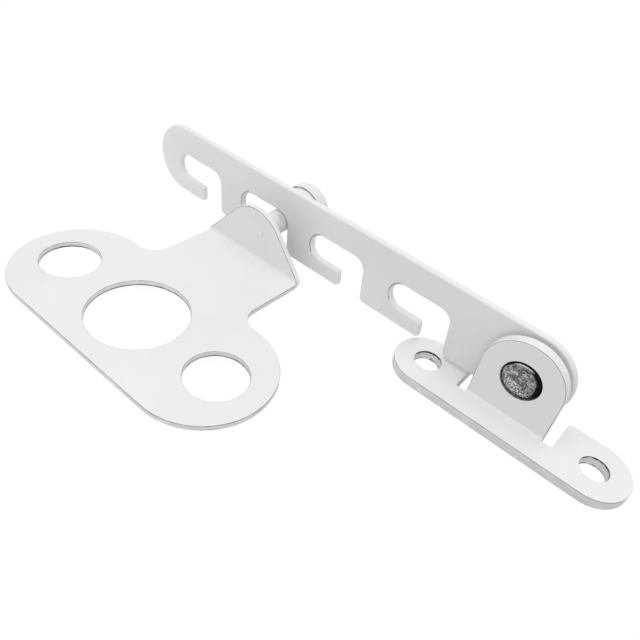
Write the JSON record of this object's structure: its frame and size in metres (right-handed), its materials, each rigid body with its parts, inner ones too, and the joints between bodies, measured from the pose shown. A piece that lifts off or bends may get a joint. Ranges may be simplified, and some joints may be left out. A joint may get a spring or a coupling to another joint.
{
  "type": "comb window restrictor",
  "caption": "Slotted comb arm that swings on a screwed frame bracket and hooks over the knobbed pin of a sash plate, to hold a window ajar.",
  "frame": {"origin": "middle between the frame bracket's two screw holes, on its mounting face", "axes": "+Z out of the window frame's face, -X along the arm towards its free end, +Y towards the back of the arm, away from the sash plate"},
  "size_m": [0.1248, 0.0624, 0.0192],
  "materials": {
    "coat": "satin white powder coat on steel",
    "steel": "bare turned steel"
  },
  "bodies": {
    "bracket": {"frame_bracket": "coat", "pivot_rivet": "steel", "pivot_washer": "steel", "sash_plate": "coat", "latch_pin": "coat"},
    "swing_arm": {"arm": "coat"}
  },
  "joints": [
    {"name": "arm_swing", "type": "hinge", "parent": "bracket", "child": "swing_arm", "pos_m": [0, 0.0031, 0.0109], "axis": [0, 1, 0], "range_deg": [0, 180]}
  ]
}
